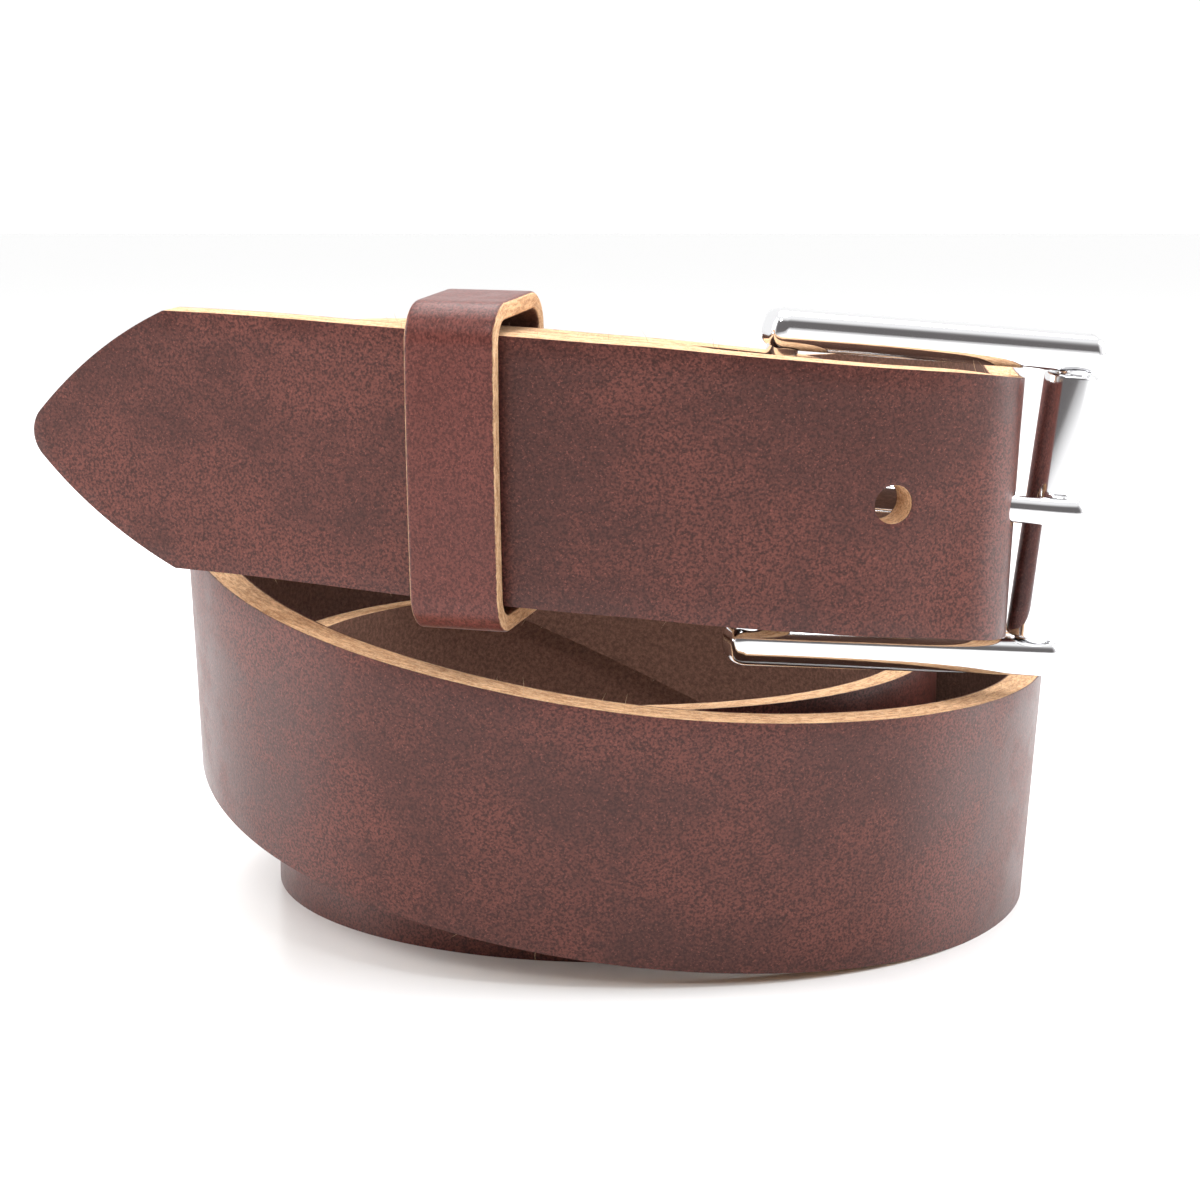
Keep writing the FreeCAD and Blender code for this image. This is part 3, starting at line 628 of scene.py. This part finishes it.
def metal_material(name, tint, roughness, scratch=0.02):
    """Polished metal with faint cloudy wear and hairline scratches."""
    material = bpy.data.materials.new(name)
    material.use_nodes = True
    tree = material.node_tree
    shader = tree.nodes["Principled BSDF"]
    place = tree.nodes.new("ShaderNodeTexCoord").outputs["Object"]
    clouds = noise(tree, place, 160.0, 5.0, 0.65)
    stretched = add_node(tree, "ShaderNodeMapping", Vector=place, Scale=(0.12, 1.0, 1.0),
                         Rotation=(0.0, 0.1, 0.35)).outputs["Vector"]
    hairlines = noise(tree, stretched, 2600.0, 3.0, 0.6)
    worn = tuple(channel * 0.88 for channel in tint)
    tree.links.new(blend_colour(tree, ramp(tree, clouds, 0.4, 0.65), worn, tuple(tint)),
                   shader.inputs["Base Color"])
    shader.inputs["Metallic"].default_value = 1.0
    marks = calc(tree, "ADD", ramp(tree, clouds, 0.35, 0.7, roughness, roughness + 0.05),
                 ramp(tree, hairlines, 0.62, 0.72, 0.0, 0.08))
    tree.links.new(marks, shader.inputs["Roughness"])
    bump = add_node(tree, "ShaderNodeBump", Strength=scratch, Distance=0.05 * MM,
                    Height=calc(tree, "ADD", clouds, hairlines))
    tree.links.new(bump.outputs["Normal"], shader.inputs["Normal"])
    return material


def steel():
    name = "polished_steel"
    return bpy.data.materials.get(name) or metal_material(name, settings().finish.steel, 0.06)


# ---- the strap -------------------------------------------------------------------------------
def pointed_outline(total, sizes):
    """The strap's outline at the pointed end, wide open towards the buckle."""
    half, nose, steep = sizes.width / 2, sizes.nose, math.radians(45)
    start = np.array([total - sizes.point_length, half])
    end = np.array([total + nose * (math.cos(steep) - 1), nose * math.sin(steep)])
    chord = end - start
    bow = np.array([-chord[1], chord[0]]) / (8 * sizes.side_bow)
    side = [tuple(start + chord * share + bow * 4 * share * (1 - share))
            for share in np.linspace(0, 1, 17)]
    upper = [(-0.01, half + 0.002), (start[0] - 0.0001, half + 0.002)] + side
    tip = arc((total - nose, 0), nose, math.degrees(steep), -math.degrees(steep), 14)
    return upper + tip[1:-1] + [(x, -y) for x, y in reversed(upper)]


def prong_line():
    """A point on the prong's middle line, and its way from the heel bar to the tip."""
    buckle = settings().buckle
    rise = (buckle.roller + buckle.prong_thick) / 2 + 0.1 * MM
    angle = math.asin(rise / buckle.bar_pitch)
    way = ALONG * math.cos(angle) + OUT * math.sin(angle)
    return (HEEL_BAR + TO_FRAME) * MM, way


def where_prong_crosses(route):
    """How far along the strap its billet crosses the prong, and the prong's slant through it."""
    start, way = prong_line()
    places = np.linspace(route.length - 0.18, route.length - 0.09, 600)
    points = route.sample(route.line, places)
    offset = points - start
    gap = np.linalg.norm(offset - np.outer(offset @ way, way), axis=1)
    crossing = places[gap.argmin():gap.argmin() + 1]
    along = route.sample(route.along, crossing)[0]
    out = route.sample(route.out, crossing)[0]
    return float(crossing[0]), float(way @ along / (way @ out))


class BELT_OT_strap(bpy.types.Operator):
    """Cut, punch and bend the strap along its way"""
    bl_idname = "belt.strap"
    bl_label = "Strap"

    def execute(self, context):
        sizes = settings().strap
        route = strap_route()
        strap = flat_strip("strap_leather", route.length, sizes.width, sizes.thick, 760, 10)
        cut_with(strap, slab("point", pointed_outline(route.length, sizes), 0.02), "INTERSECT")
        half_hole = sizes.hole_width / 2
        for number in range(sizes.hole_count):
            middle = route.length - sizes.first_hole - number * sizes.hole_pitch
            lean = 0.0
            outline = rounded_slot(middle, half_hole + 1e-5, half_hole)
            if number == 1:
                crossing, lean = where_prong_crosses(route)
                outline = rounded_slot(crossing, half_hole + PRONG_HOLE_STRETCH, half_hole)
            cut_with(strap, slant(slab("punch", outline, 0.02), lean))
        fold_middle = route.distance_at_knot(1 + len(FOLDED) + len(FOLD_TURNS) // 2)
        cut_with(strap, slab("slot_punch", rounded_slot(fold_middle, *HALF_SLOT), 0.02))
        recalculate(strap)
        apply_modifier(strap, "BEVEL", width=sizes.edge_round, segments=3, limit_method="ANGLE",
                       angle_limit=math.radians(50), harden_normals=False)
        flat = keep_flat_places(strap)
        set_places(strap, route.bend(flat))
        smooth(strap, 40)
        finish = settings().finish
        material = leather_material("strap_leather", finish.grain, finish.grain_red, sizes.thick,
                                    0.37, 2600.0)
        finish_piece(strap, material, "belt", "strap_leather", "strap")
        return {"FINISHED"}


class BELT_OT_edge_fibres(bpy.types.Operator):
    """Scatter the short loose fibres that stand out of the raw edges"""
    bl_idname = "belt.edge_fibres"
    bl_label = "Edge fibres"

    def execute(self, context):
        sizes = settings().strap
        route = strap_route()
        dice = np.random.default_rng(LOOSE_FIBRE_SEED)
        count = LOOSE_FIBRES
        distance = dice.uniform(0.06, route.length - 0.03, count)
        side = dice.choice([-1, 1], count)
        out = dice.uniform(-0.44, 0.44, count) * sizes.thick
        reach = dice.exponential(0.55 * MM, count) + 0.25 * MM
        reach = np.minimum(reach, LONGEST_FIBRE)
        lean = dice.normal(0, 0.7, (count, 2))
        vertices, faces = [], []
        for n in range(count):
            root = np.array([distance[n], side[n] * (sizes.width / 2 - 0.1 * MM), out[n]])
            way = np.array([lean[n, 0], side[n], lean[n, 1] * 0.5])
            way /= np.linalg.norm(way)
            curl = np.array([dice.normal(0, 0.3), 0, dice.normal(0, 0.3)])
            first = len(vertices)
            stem = [(0.0, 1.0), (0.55, 0.7), (1.0, 0.15)]
            for share, thin in stem:
                middle = root + way * reach[n] * share + curl * reach[n] * share**2
                for corner in range(3):
                    angle = corner * 2 * math.pi / 3
                    ring = np.array([math.cos(angle), 0, math.sin(angle)]) * FIBRE_RADIUS * thin
                    vertices.append(middle + ring)
            for ring_number in range(len(stem) - 1):
                low = first + 3 * ring_number
                for corner in range(3):
                    following = (corner + 1) % 3
                    faces.append((low + corner, low + following, low + 3 + following,
                                  low + 3 + corner))
            faces.append((first, first + 2, first + 1))
            faces.append((first + 6, first + 7, first + 8))
        mesh = bpy.data.meshes.new("edge_fibres")
        mesh.from_pydata([tuple(v) for v in vertices], [], faces)
        fibres = bpy.data.objects.new("edge_fibres", mesh)
        context.scene.collection.objects.link(fibres)
        flat = keep_flat_places(fibres)
        places = route.bend(flat)
        places[:, 2] = np.maximum(places[:, 2], 0.05 * MM)
        set_places(fibres, places)
        recalculate(fibres)
        material = bpy.data.materials.new("loose_fibre")
        material.use_nodes = True
        tree = material.node_tree
        place = tree.nodes.new("ShaderNodeTexCoord").outputs["Object"]
        shade = blend_colour(tree, noise(tree, place, 700.0), (0.42, 0.25, 0.14), (0.75, 0.55, 0.36))
        tree.links.new(shade, tree.nodes["Principled BSDF"].inputs["Base Color"])
        tree.nodes["Principled BSDF"].inputs["Roughness"].default_value = 0.8
        fibres.data.materials.append(material)
        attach(fibres, "belt")
        return {"FINISHED"}


# ---- the keeper ------------------------------------------------------------------------------
def keeper_frame():
    """The keeper's middle, and its ways along the billet, across it and out of it."""
    x, y, z, lean = FRONT[KEEPER_AT]
    before, after = FRONT[KEEPER_AT - 1], FRONT[KEEPER_AT + 1]
    along = unit(np.array(after[:3]) - np.array(before[:3]))
    across = width_way(along, lean)
    out = np.cross(across, along)
    side = np.cross(out, along)
    turn = math.radians(KEEPER_SKEW)
    x_way = along * math.cos(turn) + side * math.sin(turn)
    return (np.array([x, y, z]) + TO_FRAME) * MM, x_way, np.cross(out, x_way), out


def loop_points(sizes):
    """The keeper's middle line in its own (side, out) plane, from the seam round to the seam."""
    half = sizes.half_side + sizes.thick / 2
    front, back = sizes.front + sizes.thick / 2, -sizes.back - sizes.thick / 2
    radius = sizes.corner + sizes.thick / 2
    corners = [((half - radius, back + radius), -90), ((half - radius, front - radius), 0),
               ((-half + radius, front - radius), 90), ((-half + radius, back + radius), 180)]
    points = [(sizes.seam / 2, back)]
    for centre, start in corners:
        points += arc(centre, radius, start, start + 90, 12)
    return points + [(-sizes.seam / 2, back)]


class BELT_OT_keeper(bpy.types.Operator):
    """Bend the keeper's strip into its loop and butt its ends at the back"""
    bl_idname = "belt.keeper"
    bl_label = "Keeper"

    def execute(self, context):
        sizes = settings().keeper
        points = np.array(loop_points(sizes))
        travelled = np.concatenate([[0], np.cumsum(np.linalg.norm(np.diff(points, axis=0), axis=1))])
        long = travelled[-1]
        strip = flat_strip("keeper_leather", long, sizes.width, sizes.thick, 190, 6)
        recalculate(strip)
        apply_modifier(strip, "BEVEL", width=0.5 * MM, segments=4, limit_method="ANGLE",
                       angle_limit=math.radians(50))
        flat = keep_flat_places(strip)
        ways = np.gradient(points, travelled, axis=0)
        ways /= np.linalg.norm(ways, axis=1)[:, None]
        side = np.interp(flat[:, 0], travelled, points[:, 0])
        out = np.interp(flat[:, 0], travelled, points[:, 1])
        way_side = np.interp(flat[:, 0], travelled, ways[:, 0])
        way_out = np.interp(flat[:, 0], travelled, ways[:, 1])
        lengths = np.hypot(way_side, way_out)
        crown = 0.35 * MM * np.clip(1 - (side / sizes.half_side) ** 2, 0, 1) * (out > 0)
        local = np.stack([flat[:, 1], side + flat[:, 2] * way_out / lengths,
                          out - flat[:, 2] * way_side / lengths + crown], axis=1)
        set_places(strip, local)
        recalculate(strip)
        origin, x_way, y_way, z_way = keeper_frame()
        place_by(strip, origin, x_way, y_way, z_way)
        smooth(strip, 40)
        finish = settings().finish
        material = leather_material("keeper_leather", finish.keeper,
                                    tuple(c * 1.15 for c in finish.keeper), sizes.thick, 0.33,
                                    3200.0)
        finish_piece(strip, material, "keeper", "keeper_leather", "keeper")
        return {"FINISHED"}


# ---- the buckle ------------------------------------------------------------------------------
def into_buckle(piece):
    place_by(piece, (HEEL_BAR + TO_FRAME) * MM, ALONG, ACROSS, OUT)


def rail(name, side, buckle):
    """One side rail: a bar whose ends and long edges are rounded off."""
    deselect()
    long = buckle.heel_end + buckle.bar_pitch + buckle.front_end
    middle = ((buckle.bar_pitch + buckle.front_end - buckle.heel_end) / 2,
              side * (buckle.window + buckle.rail_height) / 2, 0)
    bpy.ops.mesh.primitive_cube_add(size=1, location=middle)
    bar = bpy.context.object
    bar.scale = (long, buckle.rail_height, buckle.rail_depth)
    settle(bar, name)
    outer = side * (buckle.window / 2 + buckle.rail_height)
    weights = bar.data.attributes.new("bevel_weight_edge", "FLOAT", "EDGE")
    for edge in bar.data.edges:
        ends = [bar.data.vertices[n].co for n in edge.vertices]
        is_outer = all(abs(end.y - outer) < 1e-6 for end in ends)
        weights.data[edge.index].value = 1.0 if is_outer else 0.75
    apply_modifier(bar, "BEVEL", width=2.3 * MM, segments=8, limit_method="WEIGHT", profile=0.55)
    return bar


def bar_between(name, x, diameter, half_length):
    deselect()
    bpy.ops.mesh.primitive_cylinder_add(vertices=48, radius=diameter / 2, depth=2 * half_length,
                                        location=(x, 0, 0), rotation=(math.pi / 2, 0, 0))
    return settle(bpy.context.object, name)


def join(pieces, name):
    select_only(pieces[0])
    for piece in pieces:
        piece.select_set(True)
    bpy.ops.object.join()
    joined = bpy.context.object
    joined.name = joined.data.name = name
    return joined


class BELT_OT_buckle_frame(bpy.types.Operator):
    """Build the two rails, the heel bar and the roller's axle"""
    bl_idname = "belt.buckle_frame"
    bl_label = "Buckle frame"

    def execute(self, context):
        buckle = settings().buckle
        reach = buckle.window / 2 + buckle.rail_height * 0.6
        pieces = [rail("rail", side, buckle) for side in (-1, 1)]
        pieces.append(bar_between("heel_bar", 0, buckle.heel_bar, reach))
        pieces.append(bar_between("axle", buckle.bar_pitch, buckle.axle, reach))
        whole = join(pieces, "buckle_frame_polished")
        into_buckle(whole)
        smooth(whole, 45)
        apply_modifier(whole, "WEIGHTED_NORMAL", keep_sharp=True)
        finish_piece(whole, steel(), "buckle", "polished_steel", "buckle_frame")
        return {"FINISHED"}


class BELT_OT_roller(bpy.types.Operator):
    """Turn the roller, with its bore and softened ends"""
    bl_idname = "belt.roller"
    bl_label = "Roller"

    def execute(self, context):
        buckle = settings().buckle
        half = buckle.window / 2 - buckle.end_gap
        tube = bar_between("roller_tube", buckle.bar_pitch, buckle.roller, half)
        bore = bar_between("bore", buckle.bar_pitch, buckle.axle + 0.1 * MM, half * 1.2)
        cut_with(tube, bore)
        apply_modifier(tube, "BEVEL", width=0.35 * MM, segments=4, limit_method="ANGLE",
                       angle_limit=math.radians(60))
        into_buckle(tube)
        smooth(tube, 45)
        finish_piece(tube, steel(), "roller", "polished_steel", "roller")
        return {"FINISHED"}


def extrude_sections(name, sections, sides=28):
    """A rod along x made of oval sections (x, half width, half thickness), ends closed."""
    deselect()
    x, half_width, half_thick = sections[0]
    bpy.ops.mesh.primitive_circle_add(vertices=sides, radius=1, fill_type="NGON",
                                      location=(x, 0, 0), rotation=(0, math.pi / 2, 0))
    rod = bpy.context.object
    settle(rod, name)
    for vertex in rod.data.vertices:
        vertex.co.y *= half_width
        vertex.co.z *= half_thick
    for x, half_width, half_thick in sections[1:]:
        select_only(rod)
        bpy.ops.object.mode_set(mode="EDIT")
        bpy.ops.mesh.select_mode(type="FACE")
        bpy.ops.mesh.extrude_region_move(TRANSFORM_OT_translate={"value": (0, 0, 0)})
        bpy.ops.object.mode_set(mode="OBJECT")
        ring = [vertex for vertex in rod.data.vertices if vertex.select]
        width = max(abs(vertex.co.y) for vertex in ring)
        thickness = max(abs(vertex.co.z) for vertex in ring)
        for vertex in ring:
            vertex.co = (x, vertex.co.y * half_width / width, vertex.co.z * half_thick / thickness)
    recalculate(rod)
    return rod


class BELT_OT_prong(bpy.types.Operator):
    """Draw out the prong's rod to its round nose and wrap its eye round the heel bar"""
    bl_idname = "belt.prong"
    bl_label = "Prong"

    def execute(self, context):
        buckle = settings().buckle
        half_width, half_thick, reach = (buckle.prong_width / 2, buckle.prong_thick / 2,
                                         buckle.prong_reach)
        sections = [(buckle.heel_bar / 2 + 0.3 * MM, half_width * 0.98, half_thick * 0.95),
                    (buckle.prong_eye, half_width, half_thick),
                    (reach * 0.55, half_width, half_thick),
                    (reach - 6 * MM, half_width * 0.94, half_thick * 0.96),
                    (reach - 4 * MM, half_width * 0.97, half_thick)]
        nose = half_width
        for turn in np.linspace(0, 84, 9):
            angle = math.radians(turn)
            sections.append((reach - nose + nose * math.sin(angle),
                             half_width * math.cos(angle), half_thick * math.cos(angle)))
        rod = extrude_sections("prong_rod", sections)
        deselect()
        eye_inside = buckle.heel_bar / 2 + 0.05 * MM
        tube = (buckle.prong_eye / 2 - eye_inside) / 2
        bpy.ops.mesh.primitive_torus_add(major_radius=eye_inside + tube, minor_radius=tube,
                                         major_segments=48, minor_segments=20,
                                         rotation=(math.pi / 2, 0, 0))
        eye = bpy.context.object
        settle(eye, "prong_eye")
        for vertex in eye.data.vertices:
            vertex.co.y *= half_width / tube
        whole = join([rod, eye], "prong_polished")
        start, way = prong_line()
        out = np.cross(way, ACROSS)
        place_by(whole, start, way, ACROSS, out)
        smooth(whole, 45)
        finish_piece(whole, steel(), "prong", "polished_steel", "prong")
        return {"FINISHED"}


class BELT_OT_fasteners(bpy.types.Operator):
    """Finish the hidden screws, their posts and the keeper's staple"""
    bl_idname = "belt.fasteners"
    bl_label = "Fasteners"

    def execute(self, context):
        satin = metal_material("satin_steel", (0.62, 0.61, 0.59), 0.24, 0.05)
        for name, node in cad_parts.items():
            if name.startswith("screw") or name.endswith("staple"):
                for place in node.material_slots:
                    place.material = satin
        return {"FINISHED"}


# ---- the studio ------------------------------------------------------------------------------
def area_light(name, place, aim, width, height, watts):
    light = bpy.data.lights.new(name, "AREA")
    light.shape = "RECTANGLE"
    light.size, light.size_y, light.energy = width, height, watts
    lamp = bpy.data.objects.new(name, light)
    lamp.location = place
    lamp.rotation_euler = (Vector(aim) - Vector(place)).to_track_quat("-Z", "Y").to_euler()
    bpy.context.scene.collection.objects.link(lamp)
    return lamp


def light_room(scene):
    """A white room behind and above, darker in front, which the metal and the leather reflect."""
    world = scene.world or bpy.data.worlds.new("studio")
    scene.world = world
    world.use_nodes = True
    tree = world.node_tree
    background = tree.nodes["Background"]
    way = tree.nodes.new("ShaderNodeTexCoord").outputs["Generated"]
    parts = add_node(tree, "ShaderNodeSeparateXYZ", Vector=way)
    behind = ramp(tree, parts.outputs["Y"], -0.62, -0.18)
    above = ramp(tree, parts.outputs["Z"], 0.45, 0.75)
    white = calc(tree, "MAXIMUM", behind, above)
    tree.links.new(blend_colour(tree, white, (0.16, 0.15, 0.15), (1.0, 1.0, 1.0)),
                   background.inputs["Color"])
    background.inputs["Strength"].default_value = 1.05


class BELT_OT_stage(bpy.types.Operator):
    """Lay the pale glossy floor, hang the soft lights and set the camera"""
    bl_idname = "belt.stage"
    bl_label = "Stage"

    def execute(self, context):
        deselect()
        bpy.ops.mesh.primitive_plane_add(size=6, location=(0, 0, 0))
        floor = settle(bpy.context.object, "studio_floor")
        material = bpy.data.materials.new("studio_floor")
        material.use_nodes = True
        shader = material.node_tree.nodes["Principled BSDF"]
        shader.inputs["Base Color"].default_value = (*settings().finish.floor, 1)
        shader.inputs["Roughness"].default_value = 0.22
        shader.inputs["Specular IOR Level"].default_value = 0.5
        floor.data.materials.append(material)

        light_room(context.scene)
        area_light("top_softbox", (0.05, 0.1, 0.7), (0, 0, 0.03), 0.7, 0.7, 8)
        area_light("left_softbox", (-0.8, 0.0, 0.35), (0, 0, 0.05), 0.4, 0.6, 4)
        area_light("right_softbox", (0.8, 0.1, 0.35), (0, 0, 0.05), 0.4, 0.6, 5)
        area_light("front_fill", (-0.25, -0.8, 0.75), (0, 0, 0.05), 0.35, 0.2, 2.2)
        context.scene.view_settings.view_transform = "Standard"

        camera = bpy.data.cameras.new("camera")
        camera.sensor_width = 36
        camera.lens = CAMERA_LENS
        camera.clip_start = 0.01
        viewer = bpy.data.objects.new("camera", camera)
        viewer.location = CAMERA_PLACE
        viewer.rotation_euler = (math.radians(90 - CAMERA_TILT_DOWN), 0, 0)
        context.scene.collection.objects.link(viewer)
        context.scene.camera = viewer
        return {"FINISHED"}


class BELT_PT_panel(bpy.types.Panel):
    """Lists the belt's pieces in the sidebar"""
    bl_idname = "BELT_PT_panel"
    bl_label = "Belt"
    bl_space_type = "VIEW_3D"
    bl_region_type = "UI"
    bl_category = "Belt"

    def draw(self, context):
        for operator in OPERATORS:
            self.layout.operator(operator.bl_idname)


GROUPS = (StrapSizes, BuckleSizes, KeeperSizes, Finishes, BeltSettings)
OPERATORS = (BELT_OT_strap, BELT_OT_edge_fibres, BELT_OT_keeper, BELT_OT_buckle_frame,
             BELT_OT_roller, BELT_OT_prong, BELT_OT_fasteners, BELT_OT_stage)


def register():
    for thing in GROUPS + OPERATORS + (BELT_PT_panel,):
        bpy.utils.register_class(thing)
    bpy.types.Scene.belt = bpy.props.PointerProperty(type=BeltSettings)


def unregister():
    del bpy.types.Scene.belt
    for thing in reversed(GROUPS + OPERATORS + (BELT_PT_panel,)):
        bpy.utils.unregister_class(thing)


def main():
    register()
    bpy.ops.belt.strap()
    bpy.ops.belt.edge_fibres()
    bpy.ops.belt.keeper()
    bpy.ops.belt.buckle_frame()
    bpy.ops.belt.roller()
    bpy.ops.belt.prong()
    bpy.ops.belt.fasteners()
    bpy.ops.belt.stage()


if __name__ == "__main__":
    main()
